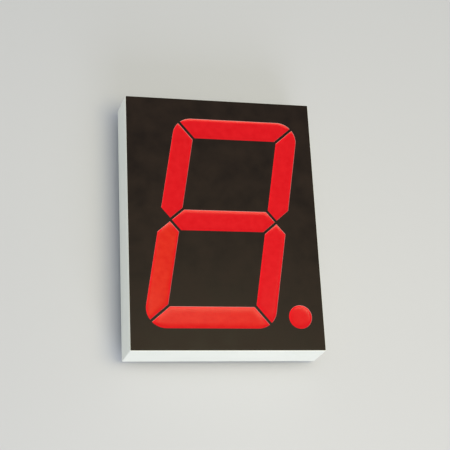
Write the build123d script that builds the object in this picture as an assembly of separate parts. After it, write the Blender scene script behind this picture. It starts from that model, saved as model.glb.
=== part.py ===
from build123d import *
from math import radians, tan
import os

# Single-digit seven-segment display with a decimal point, lying face up.
# Millimetres. X runs across the face, Y up the digit and Z out of the face.
# The origin is in the middle of the body's rear rim, the plane that seats on a board.

# Digit, with its width taken along X
DIGIT_HEIGHT = 101.6
DIGIT_WIDTH = 60.7
DIGIT_CORNER_RADIUS = 9.2
SLANT_ANGLE = 10.0
SEGMENT_WIDTH = 10.0
SEGMENT_GAP = 1.2
POINT_DIAMETER = 11.0
POINT_GAP = 6.0

# Body, whose face leaves a margin round the slanted digit
TOP_MARGIN = 10.2
SIDE_MARGIN = 5.7
BODY_DEPTH = 20.0
DRAFT_ANGLE = 2.5
CORNER_RADIUS = 0.5
FACE_EDGE_RADIUS = 0.25
SIDE_WALL = 2.4
RIM_WALL = 1.2
FACE_WALL = 2.0
FILM_THICKNESS = 0.12

# Light wells behind the windows, and the diffusers cast in them
WELL_TAPER_ANGLE = 9.5
CUP_WALL = 1.2
DIFFUSER_SINK = 0.3
DIFFUSER_DEPTH = 5.0

# Circuit board, sunk below the rear rim
BOARD_THICKNESS = 1.6
BOARD_SINK = 2.4
BOARD_CLEARANCE = 0.25
BOARD_CORNER_RADIUS = 1.0

# Posts of the housing, melted over on the back of the board
POST_RADIUS = 1.5
POST_CLEARANCE = 0.1
HEAD_RADIUS = 2.4
HEAD_TIP_RADIUS = 1.6
HEAD_HEIGHT = 1.1
SIDE_POST_SHARES = [(-0.41, 0.42), (0.41, -0.2)]

# Light-emitting chips
LEDS_PER_SEGMENT = 4
LEDS_PER_POINT = 2
LED_LENGTH = 2.0
LED_WIDTH = 1.25
LED_BASE_HEIGHT = 0.35
LED_LENS_LENGTH = 1.2
LED_LENS_HEIGHT = 0.45
LED_LENS_TAPER_ANGLE = 8.0
POINT_LED_PITCH = 2.4

# Pins in two rows
PINS_PER_ROW = 5
PIN_PITCH = 2.54
PIN_ROW_MARGIN = 7.66
PIN_LENGTH = 5.0
PIN_RADIUS = 0.4
STEM_RADIUS = 0.65
STEM_CLEARANCE = 0.05
STEM_STAND = 0.6

# Levels above the seating plane
board_back = BOARD_SINK
board_front = board_back + BOARD_THICKNESS
plate_front = BODY_DEPTH - FILM_THICKNESS
plate_back = plate_front - FACE_WALL
plate_middle = plate_front - FACE_WALL / 2
diffuser_front = plate_front - DIFFUSER_SINK
diffuser_back = diffuser_front - DIFFUSER_DEPTH

slant = tan(radians(SLANT_ANGLE))
face_width = DIGIT_WIDTH + DIGIT_HEIGHT * slant + 2 * SIDE_MARGIN
face_height = DIGIT_HEIGHT + 2 * TOP_MARGIN

half_width = DIGIT_WIDTH / 2
half_height = DIGIT_HEIGHT / 2
half_segment = SEGMENT_WIDTH / 2
inner_width = half_width - SEGMENT_WIDTH
inner_height = half_height - SEGMENT_WIDTH
middle_width = half_width - half_segment
middle_height = half_height - half_segment


def turned(points):
    """The same points after half a turn about the digit's centre."""
    return [(-x, -y) for x, y in points]


# Corners of the segments on an upright digit, anticlockwise, before the gaps are taken off
top = [(-half_width, half_height), (-inner_width, inner_height)]
top += [(inner_width, inner_height), (half_width, half_height)]
upper_right = [(half_width, half_height), (inner_width, inner_height), (inner_width, half_segment)]
upper_right += [(middle_width, 0), (half_width, half_segment)]
upper_left = [(-half_width, half_height), (-half_width, half_segment), (-middle_width, 0)]
upper_left += [(-inner_width, half_segment), (-inner_width, inner_height)]
bar_left = [(-inner_width, half_segment), (-middle_width, 0), (-inner_width, -half_segment)]
SEGMENTS = {
    "a": top,
    "b": upper_right,
    "c": turned(upper_left),
    "d": turned(top),
    "e": turned(upper_right),
    "f": upper_left,
    "g": bar_left + turned(bar_left),
}

# Middle line of each segment, along which its light-emitting chips are spread
top_line = [(-inner_width, middle_height), (inner_width, middle_height)]
right_line = [(middle_width, half_segment), (middle_width, inner_height)]
left_line = [(-middle_width, half_segment), (-middle_width, inner_height)]
MIDDLE_LINES = {
    "a": top_line,
    "b": right_line,
    "c": turned(left_line),
    "d": turned(top_line),
    "e": turned(right_line),
    "f": left_line,
    "g": [(-inner_width, 0), (inner_width, 0)],
}

# Pins are numbered anticlockwise as seen on the face, from the left end of the lower row
PIN_PLACES = [
    (side * ((PINS_PER_ROW - 1) / 2 - column) * PIN_PITCH, side * (face_height / 2 - PIN_ROW_MARGIN))
    for side in (-1, 1)
    for column in range(PINS_PER_ROW)
]


def slanted(x, y):
    """A point of the upright digit, leant over to the right."""
    return Vector(x + y * slant, y)


# The decimal point stands level with the digit's foot, a gap away from its right side
point_radius = POINT_DIAMETER / 2
point_centre = slanted(half_width, point_radius - half_height) + Vector(POINT_GAP + point_radius, 0)


def moved_in(corners, margins):
    """Corners of a convex outline after each side moves inwards by its own margin."""
    sides = []
    for start, end, margin in zip(corners, corners[1:] + corners[:1], margins):
        along = (end - start).normalized()
        inwards = Vector(-along.Y, along.X)
        sides.append((start + inwards * margin, along))
    moved = []
    for (p, u), (q, v) in zip(sides[-1:] + sides[:-1], sides):
        reach = (q - p).cross(v).Z / u.cross(v).Z
        moved.append(p + u * reach)
    return moved


def segment_outline(name, growth=0):
    """Window of one segment: mitred ends half a gap short, and rounded where the digit has a corner."""
    corners = SEGMENTS[name]
    margins = []
    for (x0, y0), (x1, y1) in zip(corners, corners[1:] + corners[:1]):
        mitred = x0 != x1 and y0 != y1
        margins.append(SEGMENT_GAP / 2 - growth if mitred else -growth)
    polygon = Polygon(*moved_in([slanted(*c) for c in corners], margins), align=None)
    width, height = half_width, half_height
    digit = [slanted(*c) for c in [(-width, -height), (width, -height), (width, height), (-width, height)]]
    digit = Polygon(*moved_in(digit, [-growth] * len(digit)), align=None)
    return polygon & fillet(digit.vertices(), DIGIT_CORNER_RADIUS + growth)


def point_outline(growth=0):
    """Window of the decimal point."""
    return Pos(point_centre) * Circle(point_radius + growth)


def window(name, growth=0):
    """Window of a segment or of the decimal point."""
    return point_outline(growth) if name == "point" else segment_outline(name, growth)


WINDOWS = list(SEGMENTS) + ["point"]


def tapered(outline, level, depth, angle):
    """An outline drawn down from a level, and narrowing on the way."""
    return extrude(Pos(0, 0, level) * outline, depth, dir=(0, 0, -1), taper=angle)


def well(name):
    """The space in which one window's light spreads, from the board up to the face."""
    return tapered(window(name), plate_front, plate_front - board_front, WELL_TAPER_ANGLE)


def cup(name):
    """The thin wall round a well, rooted in the face wall, with the well still filled."""
    growth = CUP_WALL - (plate_front - plate_middle) * tan(radians(WELL_TAPER_ANGLE))
    return tapered(window(name, growth), plate_middle, plate_middle - board_front, WELL_TAPER_ANGLE)


def body_size(level):
    """Width and height of the drafted body at a level."""
    spread = 2 * (plate_front - level) * tan(radians(DRAFT_ANGLE))
    return face_width + spread, face_height + spread


def inner_size(level, wall):
    """Width and height inside a wall of the body at a level."""
    width, height = body_size(level)
    return width - 2 * wall, height - 2 * wall


def post_places():
    """Centres of the posts: one on each side of the digit and one inside each of its two loops."""
    places = [(x * face_width, y * face_height) for x, y in SIDE_POST_SHARES]
    loop_middle = (inner_height + half_segment) / 2
    for side in (-1, 1):
        middle = slanted(0, side * loop_middle)
        places.append((middle.X, middle.Y))
    return places


def make_post():
    """One post: a shank rooted in the face wall, which goes through the board to a melted head behind it."""
    down = (Align.CENTER, Align.CENTER, Align.MAX)
    shank = Pos(0, 0, plate_middle) * Cylinder(POST_RADIUS, plate_middle - board_back, align=down)
    return shank + Pos(0, 0, board_back) * Cone(HEAD_TIP_RADIUS, HEAD_RADIUS, HEAD_HEIGHT, align=down)


def make_housing():
    """The white reflector moulding."""
    body = extrude(Rectangle(*body_size(0)), plate_front, taper=DRAFT_ANGLE)
    corner_edges = [edge for edge in body.edges() if 0 < edge.center().Z < plate_front]
    body = fillet(corner_edges, CORNER_RADIUS)
    body = fillet(body.faces().sort_by(Axis.Z)[-1].edges(), FACE_EDGE_RADIUS)
    body -= extrude(Rectangle(*inner_size(board_front, RIM_WALL)), board_front)
    hollow = Pos(0, 0, board_front) * Rectangle(*inner_size(board_front, SIDE_WALL))
    body -= extrude(hollow, plate_back - board_front, taper=DRAFT_ANGLE)
    body += [cup(name) for name in WINDOWS]
    body += [Pos(x, y) * make_post() for x, y in post_places()]
    return body - [well(name) for name in WINDOWS]


def make_film():
    """The black layer on the face, with a window for each diffuser."""
    margin = 2 * FACE_EDGE_RADIUS
    radius = CORNER_RADIUS - FACE_EDGE_RADIUS
    sheet = RectangleRounded(face_width - margin, face_height - margin, radius)
    sheet -= [window(name) for name in WINDOWS]
    return extrude(Pos(0, 0, plate_front) * sheet, FILM_THICKNESS)


def make_diffuser(name):
    """The red resin cast in the front of one well."""
    width, height = body_size(0)
    up = (Align.CENTER, Align.CENTER, Align.MIN)
    layer = Pos(0, 0, diffuser_back) * Box(width, height, DIFFUSER_DEPTH, align=up)
    return well(name) & layer


def make_board():
    """The circuit board, with holes for the pins and the posts."""
    width, height = inner_size(board_front, RIM_WALL + BOARD_CLEARANCE)
    sheet = RectangleRounded(width, height, BOARD_CORNER_RADIUS)
    sheet -= [Pos(*place) * Circle(STEM_RADIUS + STEM_CLEARANCE) for place in PIN_PLACES]
    sheet -= [Pos(*place) * Circle(POST_RADIUS + POST_CLEARANCE) for place in post_places()]
    return extrude(Pos(0, 0, board_back) * sheet, BOARD_THICKNESS)


def make_led():
    """One chip in its package: a flat base with a contact at each end, and a clear lens between them."""
    base = extrude(Rectangle(LED_LENGTH, LED_WIDTH), LED_BASE_HEIGHT)
    lens = Pos(0, 0, LED_BASE_HEIGHT) * Rectangle(LED_LENS_LENGTH, LED_WIDTH)
    return base + extrude(lens, LED_LENS_HEIGHT, taper=LED_LENS_TAPER_ANGLE)


def make_segment_leds(name):
    """The chips of one segment, spread evenly along its middle line."""
    start, end = [slanted(*point) for point in MIDDLE_LINES[name]]
    span = end - start
    turn = Vector(1, 0).get_signed_angle(span, Vector(0, 0, 1))
    led = make_led()
    chips = []
    for index in range(LEDS_PER_SEGMENT):
        place = start + span * ((2 * index + 1) / (2 * LEDS_PER_SEGMENT))
        chips.append(Pos(place.X, place.Y, board_front) * Rot(0, 0, turn) * led)
    return Compound(children=chips)


def make_point_leds():
    """The chips of the decimal point, side by side."""
    led = make_led()
    chips = []
    for index in range(LEDS_PER_POINT):
        shift = (index - (LEDS_PER_POINT - 1) / 2) * POINT_LED_PITCH
        chips.append(Pos(point_centre.X, point_centre.Y + shift, board_front) * led)
    return Compound(children=chips)


def make_pin():
    """One stepped pin: a stem that stands out on both sides of the board, and a thinner tail behind it."""
    down = (Align.CENTER, Align.CENTER, Align.MAX)
    stem_front = board_front + STEM_STAND
    stem_back = board_back - STEM_STAND
    stem = Pos(0, 0, stem_front) * Cylinder(STEM_RADIUS, stem_front - stem_back, align=down)
    return stem + Pos(0, 0, stem_back) * Cylinder(PIN_RADIUS, stem_back + PIN_LENGTH, align=down)


parts = {"housing": make_housing(), "face_film": make_film(), "circuit_board": make_board()}
for name in SEGMENTS:
    parts["segment_" + name] = make_diffuser(name)
    parts["leds_" + name] = make_segment_leds(name)
parts["decimal_point"] = make_diffuser("point")
parts["leds_point"] = make_point_leds()
pin = make_pin()
for number, (x, y) in enumerate(PIN_PLACES, start=1):
    parts[f"pin_{number}"] = Pos(x, y) * pin

os.makedirs("parts", exist_ok=True)
for name, shape in parts.items():
    export_step(shape, f"parts/{name}.step")
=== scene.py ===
from math import cos, exp, radians, sin

import bmesh
import bpy
from mathutils import Matrix, Quaternion, Vector


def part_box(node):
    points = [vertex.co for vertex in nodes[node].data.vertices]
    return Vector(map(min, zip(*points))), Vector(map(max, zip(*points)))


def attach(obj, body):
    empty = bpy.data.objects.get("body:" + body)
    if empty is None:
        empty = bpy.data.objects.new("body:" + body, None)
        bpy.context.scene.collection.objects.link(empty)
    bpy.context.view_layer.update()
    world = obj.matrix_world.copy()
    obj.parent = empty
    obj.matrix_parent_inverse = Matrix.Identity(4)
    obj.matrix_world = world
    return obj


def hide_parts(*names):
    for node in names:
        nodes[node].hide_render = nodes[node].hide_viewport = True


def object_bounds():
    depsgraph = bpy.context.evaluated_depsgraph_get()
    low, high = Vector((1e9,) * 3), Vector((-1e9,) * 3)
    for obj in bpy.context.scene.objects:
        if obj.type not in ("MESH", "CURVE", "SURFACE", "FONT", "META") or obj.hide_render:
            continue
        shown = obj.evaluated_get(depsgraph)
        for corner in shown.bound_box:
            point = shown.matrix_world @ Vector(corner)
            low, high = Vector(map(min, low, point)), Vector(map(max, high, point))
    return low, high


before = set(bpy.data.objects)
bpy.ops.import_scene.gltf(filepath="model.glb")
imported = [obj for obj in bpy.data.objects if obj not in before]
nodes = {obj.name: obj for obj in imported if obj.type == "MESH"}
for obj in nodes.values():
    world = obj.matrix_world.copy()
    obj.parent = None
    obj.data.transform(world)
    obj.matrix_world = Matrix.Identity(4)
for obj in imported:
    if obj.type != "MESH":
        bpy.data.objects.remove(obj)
cad_low, cad_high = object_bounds()


# Housing: the white reflector moulding that carries everything else. It is injection
# moulded in one shot from filled plastic, with drafted walls, a fine spark-eroded grain
# from the tool and the broad, very slight waviness of a wall that shrank as it cooled.

MM = 0.001
# Most of a noise texture's values lie in this span
NOISE_SPAN = (0.3, 0.7)
WHITES = ((0.865, 0.890, 0.870), (0.90, 0.92, 0.90))
FLOW_SIZE = 22 * MM
FLOW_DEPTH = 0.03 * MM
SPARK_SIZE = 0.35 * MM
SPARK_DEPTH = 0.006 * MM
SPARK_ROUGHNESS = (0.42, 0.56)
GLOW_WEIGHT = 0.05
GLOW_REACH = 0.8 * MM


def start_material(name):
    """A new material with its shader and the Object coordinates that its patterns follow."""
    material = bpy.data.materials.new(name)
    material.use_nodes = True
    tree = material.node_tree
    place = tree.nodes.new("ShaderNodeTexCoord").outputs["Object"]
    return material, tree, tree.nodes["Principled BSDF"], place


def grain(tree, place, size, detail=2):
    """Noise whose grains are about this many metres across."""
    noise = tree.nodes.new("ShaderNodeTexNoise")
    noise.inputs["Scale"].default_value = 1 / size
    noise.inputs["Detail"].default_value = detail
    tree.links.new(place, noise.inputs["Vector"])
    return noise.outputs["Fac"]


def shades(tree, amount, first, last, span=NOISE_SPAN):
    """A colour that runs from the first to the last while the amount crosses the span."""
    ramp = tree.nodes.new("ShaderNodeValToRGB")
    for stop, where, colour in zip(ramp.color_ramp.elements, span, (first, last)):
        stop.position = where
        stop.color = (*colour, 1)
    tree.links.new(amount, ramp.inputs["Fac"])
    return ramp.outputs["Color"]


def spread(tree, amount, low, high):
    """A noise, stretched to run from low to high."""
    stretch = tree.nodes.new("ShaderNodeMapRange")
    stretch.inputs["From Min"].default_value = NOISE_SPAN[0]
    stretch.inputs["From Max"].default_value = NOISE_SPAN[1]
    stretch.inputs["To Min"].default_value = low
    stretch.inputs["To Max"].default_value = high
    tree.links.new(amount, stretch.inputs["Value"])
    return stretch.outputs["Result"]


def relief(tree, height, depth, under=None):
    """A bump of this depth in metres, on top of another one where it is given."""
    bump = tree.nodes.new("ShaderNodeBump")
    bump.inputs["Strength"].default_value = 1
    bump.inputs["Distance"].default_value = depth
    tree.links.new(height, bump.inputs["Height"])
    if under is not None:
        tree.links.new(under, bump.inputs["Normal"])
    return bump.outputs["Normal"]


def finish_nodes(names, material):
    """Gives CAD nodes their finished material."""
    for name in names:
        nodes[name].data.materials.clear()
        nodes[name].data.materials.append(material)


white_moulding, tree, shader, place = start_material("white_moulding")
flow = grain(tree, place, FLOW_SIZE)
sparks = grain(tree, place, SPARK_SIZE, detail=3)
tree.links.new(shades(tree, flow, *WHITES), shader.inputs["Base Color"])
tree.links.new(spread(tree, sparks, *SPARK_ROUGHNESS), shader.inputs["Roughness"])
wavy = relief(tree, flow, FLOW_DEPTH)
tree.links.new(relief(tree, sparks, SPARK_DEPTH, wavy), shader.inputs["Normal"])
shader.inputs["Subsurface Weight"].default_value = GLOW_WEIGHT
shader.inputs["Subsurface Radius"].default_value = (GLOW_REACH, GLOW_REACH, GLOW_REACH)
finish_nodes(["housing"], white_moulding)


# Face film: the matt black layer on the front, so that unlit segments stand out. It is
# screen printed in two passes on thin film, which leaves a fine tooth in the ink, and it
# picks up faint smudges that lift its black a little and change its sheen.

BLACKS = ((0.0080, 0.0031, 0.0013), (0.0160, 0.0077, 0.0045))
TOOTH_SIZE = 0.22 * MM
TOOTH_DEPTH = 0.004 * MM
SMUDGE_SIZE = 8 * MM
SMUDGE_ROUGHNESS = (0.33, 0.47)
INK_GLOSS = 0.19

black_ink, tree, shader, place = start_material("black_ink")
tooth = grain(tree, place, TOOTH_SIZE, detail=3)
smudges = grain(tree, place, SMUDGE_SIZE, detail=4)
tree.links.new(shades(tree, smudges, *BLACKS), shader.inputs["Base Color"])
tree.links.new(spread(tree, smudges, *SMUDGE_ROUGHNESS), shader.inputs["Roughness"])
tree.links.new(relief(tree, tooth, TOOTH_DEPTH), shader.inputs["Normal"])
shader.inputs["Specular IOR Level"].default_value = INK_GLOSS
finish_nodes(["face_film"], black_ink)


# Diffusers: seven bars and a round point of red epoxy, each cast into its well from the
# front. The resin shrinks as it cures, so its front is dished, and a thin skin of it stays
# on the wall, where the white plastic shows through. That skin's pale pink is partly its own
# colour and partly a painted highlight along the rim, and near the wall the red is painted
# brighter as a glow of light from the white plastic. A fine powder in it spreads the light.

# How far each shot of resin leans from red to orange
SHOT_TINTS = {
    "segment_a": 0.0,
    "segment_b": 0.02,
    "segment_c": 0.02,
    "segment_d": 0.45,
    "segment_e": 0.9,
    "segment_f": 0.05,
    "segment_g": 0.04,
    "decimal_point": 0.15,
}
RESIN_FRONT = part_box("segment_a")[1].z
FRONT_TOLERANCE = 0.01 * MM
MERGE_DISTANCE = 0.001 * MM
SKIN_RISE = 0.29 * MM
SKIN_EDGE = 0.03 * MM
SKIN_FOOT = 0.06 * MM
DISH_DEPTH = 0.32 * MM
DISH_REACH = 0.75 * MM
DISH_STEP = 0.25 * MM
DISH_STEPS = 12
SHORTEST_EDGE = 0.33 * MM
NEARLY_UPWARDS = 0.9
SHARP_ANGLE = radians(30)
DEEP_REDS = ((0.700, 0.0016, 0.0075), (0.755, 0.0060, 0.0125))
WARM_REDS = ((0.710, 0.0135, 0.0045), (0.765, 0.0285, 0.0095))
PAINTED_GLOW_REDS = ((0.84, 0.0040, 0.0120), (0.88, 0.0060, 0.0150))
SKIN_AND_HIGHLIGHT_REDS = ((0.85, 0.40, 0.36), (0.87, 0.46, 0.42))
# Heights between which the resin turns into the painted glow by the wall, a brighter red that
# stands in for light from the white plastic, and into the skin with its painted highlight
PAINTED_GLOW_SPAN = (RESIN_FRONT - 0.27 * MM, RESIN_FRONT - 0.08 * MM)
SKIN_AND_HIGHLIGHT_SPAN = (RESIN_FRONT - 0.02 * MM, RESIN_FRONT + 0.12 * MM)
CLOUD_SIZE = 3.2 * MM
POWDER_SIZE = 0.3 * MM
POWDER_DEPTH = 0.004 * MM
POWDER_ROUGHNESS = (0.17, 0.24)
RESIN_GLOSS = 0.17


def dish(from_wall):
    """How far the resin's front has sunk at this distance from the wall."""
    return DISH_DEPTH * (1 - exp(-from_wall / DISH_REACH))


def mark_sharp_edges(shape):
    """Keeps the shading broken at a shape's sharp edges."""
    for edge in shape.edges:
        edge.smooth = edge.calc_face_angle(0) < SHARP_ANGLE


def made_mesh(name, shape):
    """The mesh of a finished shape."""
    mesh = bpy.data.meshes.new(name)
    shape.to_mesh(mesh)
    shape.free()
    return mesh


def add_piece(name, mesh, material):
    """An object at the origin for a mesh that holds its own place."""
    mesh.materials.append(material)
    piece = bpy.data.objects.new(name, mesh)
    bpy.context.collection.objects.link(piece)
    return piece


def cast_diffuser(name):
    """One bar of resin from its plain CAD solid, with a dished front and a skin up the wall."""
    bar = bmesh.new()
    bar.from_mesh(nodes[name].data)
    bmesh.ops.remove_doubles(bar, verts=bar.verts, dist=MERGE_DISTANCE)
    level = RESIN_FRONT - FRONT_TOLERANCE
    flat = [face for face in bar.faces if face.calc_center_median().z > level]
    front = bmesh.ops.dissolve_faces(bar, faces=flat)["region"][0]
    for corner in front.verts:
        edges = [corner.co - edge.other_vert(corner).co for edge in corner.link_edges]
        wall = max(edges, key=lambda edge: edge.normalized().z)
        corner.co += wall * SKIN_RISE / wall.z
    rings = [(SKIN_EDGE, 0), (SKIN_FOOT, SKIN_RISE)]
    for thickness, drop in rings:
        bmesh.ops.inset_region(
            bar, faces=[front], thickness=thickness, depth=-drop, use_even_offset=True
        )
    for step in range(DISH_STEPS):
        drop = dish((step + 1) * DISH_STEP) - dish(step * DISH_STEP)
        bmesh.ops.inset_region(
            bar, faces=[front], thickness=DISH_STEP, depth=-drop, use_even_offset=True
        )
        short = [edge for edge in front.edges if edge.calc_length() < SHORTEST_EDGE]
        bmesh.ops.collapse(bar, edges=short)
        bar.normal_update()
        upwards = [face for face in bar.faces if face.normal.z > NEARLY_UPWARDS]
        front = max(upwards, key=lambda face: face.calc_area())
    mark_sharp_edges(bar)
    mesh = made_mesh(name + "_cast", bar)
    mesh.shade_smooth()
    tint = mesh.attributes.new("shot_tint", "FLOAT", "POINT")
    tint.data.foreach_set("value", [SHOT_TINTS[name]] * len(mesh.vertices))
    return mesh


def risen(tree, place, foot, top):
    """Zero below one height of the object and one above another."""
    height = tree.nodes.new("ShaderNodeSeparateXYZ")
    rise = tree.nodes.new("ShaderNodeMapRange")
    rise.inputs["From Min"].default_value = foot
    rise.inputs["From Max"].default_value = top
    tree.links.new(place, height.inputs["Vector"])
    tree.links.new(height.outputs["Z"], rise.inputs["Value"])
    return rise.outputs["Result"]


def blend(tree, amount, first, second):
    """One colour that turns into another."""
    mix = tree.nodes.new("ShaderNodeMix")
    mix.data_type = "RGBA"
    sockets = [socket for socket in mix.inputs if socket.enabled]
    for value, socket in zip((amount, first, second), sockets):
        tree.links.new(value, socket)
    return [socket for socket in mix.outputs if socket.enabled][0]


red_resin, tree, shader, place = start_material("red_resin")
cloud = grain(tree, place, CLOUD_SIZE, detail=3)
powder = grain(tree, place, POWDER_SIZE)
shot = tree.nodes.new("ShaderNodeAttribute")
shot.attribute_name = "shot_tint"
deep_red = shades(tree, cloud, *DEEP_REDS)
warm_red = shades(tree, cloud, *WARM_REDS)
painted_glow_red = shades(tree, cloud, *PAINTED_GLOW_REDS)
skin_and_highlight_red = shades(tree, powder, *SKIN_AND_HIGHLIGHT_REDS)
red = blend(tree, shot.outputs["Fac"], deep_red, warm_red)
# Painted glow: near the wall the red is painted brighter, standing in for light that the white
# plastic scatters into the resin and offsetting the shade on the dish's slopes
red = blend(tree, risen(tree, place, *PAINTED_GLOW_SPAN), red, painted_glow_red)
# The skin's pale pink is partly red over white plastic and partly a painted highlight along the
# rim
red = blend(tree, risen(tree, place, *SKIN_AND_HIGHLIGHT_SPAN), red, skin_and_highlight_red)
tree.links.new(red, shader.inputs["Base Color"])
tree.links.new(spread(tree, powder, *POWDER_ROUGHNESS), shader.inputs["Roughness"])
tree.links.new(relief(tree, powder, POWDER_DEPTH), shader.inputs["Normal"])
shader.inputs["Specular IOR Level"].default_value = RESIN_GLOSS
for name in SHOT_TINTS:
    diffuser = add_piece(name + "_cast", cast_diffuser(name), red_resin)
    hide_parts(name)
    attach(diffuser, "root")


# Light-emitting chips: small packages soldered along the middle of each well. A pale base
# carries the chip, and a clear amber lens is moulded over it.

LEDS = ["leds_" + letter for letter in "abcdefg"] + ["leds_point"]
BASE_HEIGHT = 0.35 * MM
LENS_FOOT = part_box("leds_a")[0].z + BASE_HEIGHT
LENS_SPAN = (LENS_FOOT - 0.02 * MM, LENS_FOOT + 0.02 * MM)
PALE_BASE = (0.78, 0.76, 0.70)
AMBER_LENS = (0.80, 0.58, 0.22)
LENS_GRAIN = 0.2 * MM
LENS_ROUGHNESS = (0.18, 0.32)

led_package, tree, shader, place = start_material("led_package")
package = shades(tree, risen(tree, place, *LENS_SPAN), PALE_BASE, AMBER_LENS)
mould_grain = grain(tree, place, LENS_GRAIN)
tree.links.new(package, shader.inputs["Base Color"])
tree.links.new(spread(tree, mould_grain, *LENS_ROUGHNESS), shader.inputs["Roughness"])
finish_nodes(LEDS, led_package)


# Circuit board: glass-fibre laminate under a green solder mask, held by the housing's
# melted posts. The weave of the glass shows faintly through the mask.

MASK_GREENS = ((0.010, 0.085, 0.030), (0.018, 0.125, 0.045))
MASK_CLOUD = 8 * MM
MASK_ROUGHNESS = (0.28, 0.40)
WEAVE_PITCH = 0.9 * MM
WEAVE_DEPTH = 0.008 * MM
WEAVE_DISTORTION = 0.4
# A wave texture repeats after this length at a scale of 1
WAVE_LENGTH = 0.314


def weave(tree, place, pitch):
    """Height of a plain weave whose threads lie this far apart."""
    threads = []
    for direction in ("X", "Y"):
        wave = tree.nodes.new("ShaderNodeTexWave")
        wave.bands_direction = direction
        wave.inputs["Scale"].default_value = WAVE_LENGTH / pitch
        wave.inputs["Distortion"].default_value = WEAVE_DISTORTION
        tree.links.new(place, wave.inputs["Vector"])
        threads.append(wave.outputs["Fac"])
    crossing = tree.nodes.new("ShaderNodeMath")
    crossing.operation = "MAXIMUM"
    tree.links.new(threads[0], crossing.inputs[0])
    tree.links.new(threads[1], crossing.inputs[1])
    return crossing.outputs["Value"]


green_mask, tree, shader, place = start_material("green_mask")
cloth = weave(tree, place, WEAVE_PITCH)
mask_cloud = grain(tree, place, MASK_CLOUD)
tree.links.new(shades(tree, cloth, *MASK_GREENS, span=(0, 1)), shader.inputs["Base Color"])
tree.links.new(spread(tree, mask_cloud, *MASK_ROUGHNESS), shader.inputs["Roughness"])
tree.links.new(relief(tree, cloth, WEAVE_DEPTH), shader.inputs["Normal"])
finish_nodes(["circuit_board"], green_mask)


# Copper tracks: etched from the board's back and covered by the same mask, so they show as
# slightly raised, lighter green lines. One runs from each pin towards its segment, and a
# wide one joins the two middle pins.

BOARD_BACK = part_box("circuit_board")[0].z
TRACK_WIDTH = 0.9 * MM
COMMON_WIDTH = 1.8 * MM
TRACK_HEIGHT = 0.05 * MM
TRACK_GREENS = ((0.030, 0.190, 0.060), (0.040, 0.230, 0.075))
ETCH_SIZE = 0.5 * MM
ETCH_ROUGHNESS = (0.26, 0.36)
COMMON_PINS = (3, 8)
# Where the tracks of the upper pins bend and end, in millimetres from the middle of the board
ROUTES = {
    6: [(5.08, 50.2), (8.4, 46.9), (14, 46.9), (24.5, 36.4), (29.3, 29.5), (29.3, 22.9)],
    7: [(2.54, 48.6), (5.4, 45.7)],
    9: [(-2.54, 46.5), (-13, 36), (-17.1, 31.9), (-17.1, 26.4), (-20.6, 22.9)],
    10: [(-5.08, 49.8), (-8.3, 46.6), (-22, 46.6), (-30, 38.6), (-30, 5), (-25, 0), (-12, 0)],
}
# Three lower pins have the same routes as the upper pins that lie opposite
for lower, upper in ((1, 6), (2, 7), (4, 9)):
    ROUTES[lower] = [(-x, -y) for x, y in ROUTES[upper]]
ROUTES[5] = [(5.08, -50.2), (9.3, -46), (20, -46), (33.9, -45.2)]


def pin_place(number):
    """Middle of one pin, on the board's back."""
    low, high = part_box(f"pin_{number}")
    return Vector(((low.x + high.x) / 2, (low.y + high.y) / 2, BOARD_BACK))


def lay_track(name, points, width):
    """A flat, round-edged track of copper along the points, on the board's back."""
    line = bpy.data.curves.new(name, "CURVE")
    line.dimensions = "3D"
    line.bevel_depth = width / 2
    line.bevel_resolution = 2
    line.use_fill_caps = True
    spline = line.splines.new("POLY")
    spline.points.add(len(points) - 1)
    for knot, point in zip(spline.points, points):
        knot.co = (point.x, point.y, 0, 1)
    tube = bpy.data.objects.new(name, line)
    bpy.context.collection.objects.link(tube)
    bpy.context.view_layer.update()
    drawn = tube.evaluated_get(bpy.context.evaluated_depsgraph_get())
    flat = bmesh.new()
    flat.from_mesh(bpy.data.meshes.new_from_object(drawn))
    bpy.data.objects.remove(tube)
    bmesh.ops.scale(flat, vec=(1, 1, 2 * TRACK_HEIGHT / width), verts=flat.verts)
    bmesh.ops.translate(flat, vec=(0, 0, BOARD_BACK), verts=flat.verts)
    return made_mesh(name, flat)


def join_meshes(name, meshes):
    """One smooth mesh from several, each already in its place."""
    whole = bmesh.new()
    for mesh in meshes:
        whole.from_mesh(mesh)
        bpy.data.meshes.remove(mesh)
    joined = made_mesh(name, whole)
    joined.shade_smooth()
    return joined


track_ends = []
track_meshes = []
for number, bends in ROUTES.items():
    points = [pin_place(number)] + [Vector((x * MM, y * MM, BOARD_BACK)) for x, y in bends]
    track_meshes.append(lay_track(f"track_{number}", points, TRACK_WIDTH))
    track_ends.append(points[-1])
common = [pin_place(number) for number in COMMON_PINS]
track_meshes.append(lay_track("track_common", common, COMMON_WIDTH))

masked_copper, tree, shader, place = start_material("masked_copper")
etch = grain(tree, place, ETCH_SIZE)
tree.links.new(shades(tree, etch, *TRACK_GREENS), shader.inputs["Base Color"])
tree.links.new(spread(tree, etch, *ETCH_ROUGHNESS), shader.inputs["Roughness"])
tracks = add_piece("copper_tracks", join_meshes("copper_tracks", track_meshes), masked_copper)
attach(tracks, "root")


# Pins: ten stepped pins of tinned copper alloy, pressed through the board and drawn bright,
# with faint lines along them from the drawing die.

PIN_NUMBERS = range(1, 11)
TINS = ((0.62, 0.62, 0.60), (0.74, 0.74, 0.72))
LINE_WIDTH = 0.08 * MM
LINE_STRETCH = 20
LINE_ROUGHNESS = (0.22, 0.36)

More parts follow.
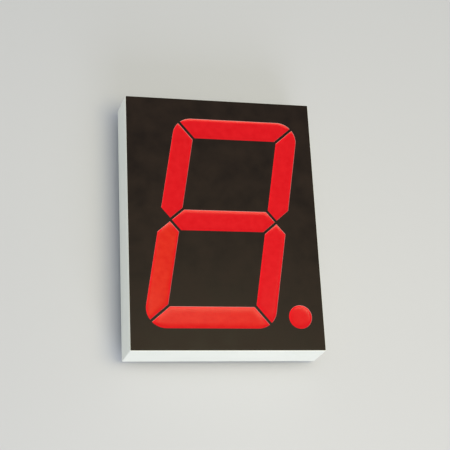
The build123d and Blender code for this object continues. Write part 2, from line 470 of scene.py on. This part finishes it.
tinned_pin, tree, shader, place = start_material("tinned_pin")
along = tree.nodes.new("ShaderNodeMapping")
along.inputs["Scale"].default_value = (1, 1, 1 / LINE_STRETCH)
tree.links.new(place, along.inputs["Vector"])
draw_lines = grain(tree, along.outputs["Vector"], LINE_WIDTH)
tree.links.new(shades(tree, draw_lines, *TINS), shader.inputs["Base Color"])
tree.links.new(spread(tree, draw_lines, *LINE_ROUGHNESS), shader.inputs["Roughness"])
shader.inputs["Metallic"].default_value = 1
finish_nodes([f"pin_{number}" for number in PIN_NUMBERS], tinned_pin)


# Solder: a bright concave fillet that wetted each pin and its pad on the board's back, and
# the small plated holes at the tracks' far ends. The first pin's pad is square, so that the
# pins can be counted from it.

# Closed profiles: distance from the middle and depth below the board, in millimetres
FILLET = [(0.3, 0), (1.15, 0), (1.13, 0.06), (0.92, 0.2), (0.77, 0.42), (0.7, 0.62)]
FILLET += [(0.55, 0.8), (0.43, 1.25), (0.3, 1.25)]
PLATED_HOLE = [(0.22, 0), (0.62, 0), (0.6, 0.05), (0.5, 0.07), (0.3, 0.07), (0.22, 0.03)]
SPIN_STEPS = 24
SQUARE_PIN = 1
PAD_SIDE = 2.3 * MM
PAD_HEIGHT = 0.06 * MM
PAD_CORNER = 0.25 * MM
PAD_CORNER_STEPS = 4
SILVERS = ((0.66, 0.67, 0.67), (0.78, 0.79, 0.79))
FROST_SIZE = 0.25 * MM
FROST_DEPTH = 0.006 * MM
FROST_ROUGHNESS = (0.16, 0.30)


def spin_below(name, profile, centre):
    """A ring turned from a closed profile, hanging from a point on the board's back."""
    ring = bmesh.new()
    places = [centre + Vector((radius * MM, 0, -depth * MM)) for radius, depth in profile]
    points = [ring.verts.new(place) for place in places]
    edges = [ring.edges.new(pair) for pair in zip(points, points[1:] + points[:1])]
    bmesh.ops.spin(
        ring,
        geom=points + edges,
        cent=centre,
        axis=(0, 0, 1),
        angle=radians(360),
        steps=SPIN_STEPS,
        use_merge=True,
    )
    bmesh.ops.recalc_face_normals(ring, faces=ring.faces)
    return made_mesh(name, ring)


def square_pad(name, centre):
    """A thin square pad with rounded corners, flat on the board's back."""
    pad = bmesh.new()
    bmesh.ops.create_cube(pad, size=1)
    bmesh.ops.scale(pad, vec=(PAD_SIDE, PAD_SIDE, PAD_HEIGHT), verts=pad.verts)
    upright = [edge for edge in pad.edges if edge.verts[0].co.z * edge.verts[1].co.z < 0]
    bmesh.ops.bevel(
        pad,
        geom=upright,
        offset=PAD_CORNER,
        offset_type="OFFSET",
        affect="EDGES",
        segments=PAD_CORNER_STEPS,
        profile=0.5,
        material=-1,
    )
    bmesh.ops.translate(pad, vec=centre - Vector((0, 0, PAD_HEIGHT / 2)), verts=pad.verts)
    mark_sharp_edges(pad)
    return made_mesh(name, pad)


solder_meshes = [spin_below("fillet", FILLET, pin_place(number)) for number in PIN_NUMBERS]
solder_meshes.append(square_pad("square_pad", pin_place(SQUARE_PIN)))
solder_meshes += [spin_below("plated_hole", PLATED_HOLE, end) for end in track_ends]

bright_solder, tree, shader, place = start_material("bright_solder")
frost = grain(tree, place, FROST_SIZE, detail=3)
tree.links.new(shades(tree, frost, *SILVERS), shader.inputs["Base Color"])
tree.links.new(spread(tree, frost, *FROST_ROUGHNESS), shader.inputs["Roughness"])
tree.links.new(relief(tree, frost, FROST_DEPTH), shader.inputs["Normal"])
shader.inputs["Metallic"].default_value = 1
solder = add_piece("solder_joints", join_meshes("solder_joints", solder_meshes), bright_solder)
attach(solder, "root")


# Floor: a plain sheet of pale, matt paper, laid flat for the pins' tips to stand on. It is
# far wider than the object, so that no edge of it comes into view, and it is seen a little
# darker than it lights the object, so that the white walls stand out from it.

FLOOR_HALF = 2.0
LIT_PALES = ((0.765, 0.785, 0.805), (0.785, 0.805, 0.825))
SEEN_PALES = ((0.640, 0.650, 0.705), (0.660, 0.670, 0.725))
FLOOR_CLOUD = 0.3
FLOOR_ROUGHNESS = 0.8


def rays_that_see(tree):
    """One for rays from the camera and those that a shiny or clear surface sends on."""
    path = tree.nodes.new("ShaderNodeLightPath")
    sees = path.outputs["Is Camera Ray"]
    for kind in ("Is Glossy Ray", "Is Transmission Ray"):
        either = tree.nodes.new("ShaderNodeMath")
        either.operation = "MAXIMUM"
        tree.links.new(sees, either.inputs[0])
        tree.links.new(path.outputs[kind], either.inputs[1])
        sees = either.outputs["Value"]
    return sees


sheet = bmesh.new()
floor_level = Matrix.Translation((0, 0, cad_low.z))
bmesh.ops.create_grid(sheet, x_segments=1, y_segments=1, size=FLOOR_HALF, matrix=floor_level)

pale_floor, tree, shader, place = start_material("pale_floor")
paper = grain(tree, place, FLOOR_CLOUD)
lit_pale = shades(tree, paper, *LIT_PALES)
seen_pale = shades(tree, paper, *SEEN_PALES)
pale = blend(tree, rays_that_see(tree), lit_pale, seen_pale)
tree.links.new(pale, shader.inputs["Base Color"])
shader.inputs["Roughness"].default_value = FLOOR_ROUGHNESS
floor = add_piece("floor", made_mesh("floor", sheet), pale_floor)


# Studio light: an even surround, a wide and slightly cool soft lamp in front that brightens
# the lower wall, and a warm soft lamp overhead. The sheen of that one lies on the lower part
# of the face, and the dished resin catches it along its upper edges.

SURROUND_COLOUR = (0.95, 1.0, 1.01, 1)
SURROUND_STRENGTH = 0.555

world = bpy.data.worlds.new("studio")
world.use_nodes = True
surround = world.node_tree.nodes["Background"]
surround.inputs["Color"].default_value = SURROUND_COLOUR
surround.inputs["Strength"].default_value = SURROUND_STRENGTH
bpy.context.scene.world = world


def add_soft_lamp(name, place, size, power, colour):
    """A square lamp that faces the middle of the object."""
    lamp = bpy.data.lights.new(name, "AREA")
    lamp.size = size
    lamp.energy = power
    lamp.color = colour
    stand = bpy.data.objects.new(name, lamp)
    stand.location = place
    stand.rotation_euler = Vector(place).to_track_quat("Z", "Y").to_euler()
    bpy.context.collection.objects.link(stand)


add_soft_lamp(
    "front_lamp", place=(0.15, -0.80, 0.45), size=0.5, power=2.3, colour=(0.97, 1.0, 1.11)
)
add_soft_lamp(
    "overhead_lamp", place=(0.12, -0.09, 0.62), size=0.3, power=1.7, colour=(1.0, 0.88, 0.52)
)


# Camera: held above the face, to the lower left of it, and rolled so that the digit stands
# nearly upright in the picture.

AIM = Vector((0.36 * MM, -1.97 * MM, cad_high.z))
AZIMUTH = radians(-36.77)
ELEVATION = radians(67.48)
ROLL = radians(36.18)
DISTANCE = 0.4862
LENS = 84.03
SENSOR_WIDTH = 36
NEAREST = 0.01

sideways = Vector((sin(AZIMUTH), -cos(AZIMUTH), 0))
towards_camera = sideways * cos(ELEVATION) + Vector((0, 0, sin(ELEVATION)))
camera = bpy.data.objects.new("camera", bpy.data.cameras.new("camera"))
camera.data.lens = LENS
camera.data.sensor_width = SENSOR_WIDTH
camera.data.clip_start = NEAREST
camera.location = AIM + towards_camera * DISTANCE
camera.rotation_mode = "QUATERNION"
camera.rotation_quaternion = towards_camera.to_track_quat("Z", "Y") @ Quaternion((0, 0, 1), ROLL)
bpy.context.collection.objects.link(camera)
bpy.context.scene.camera = camera
bpy.context.scene.view_settings.view_transform = "Standard"
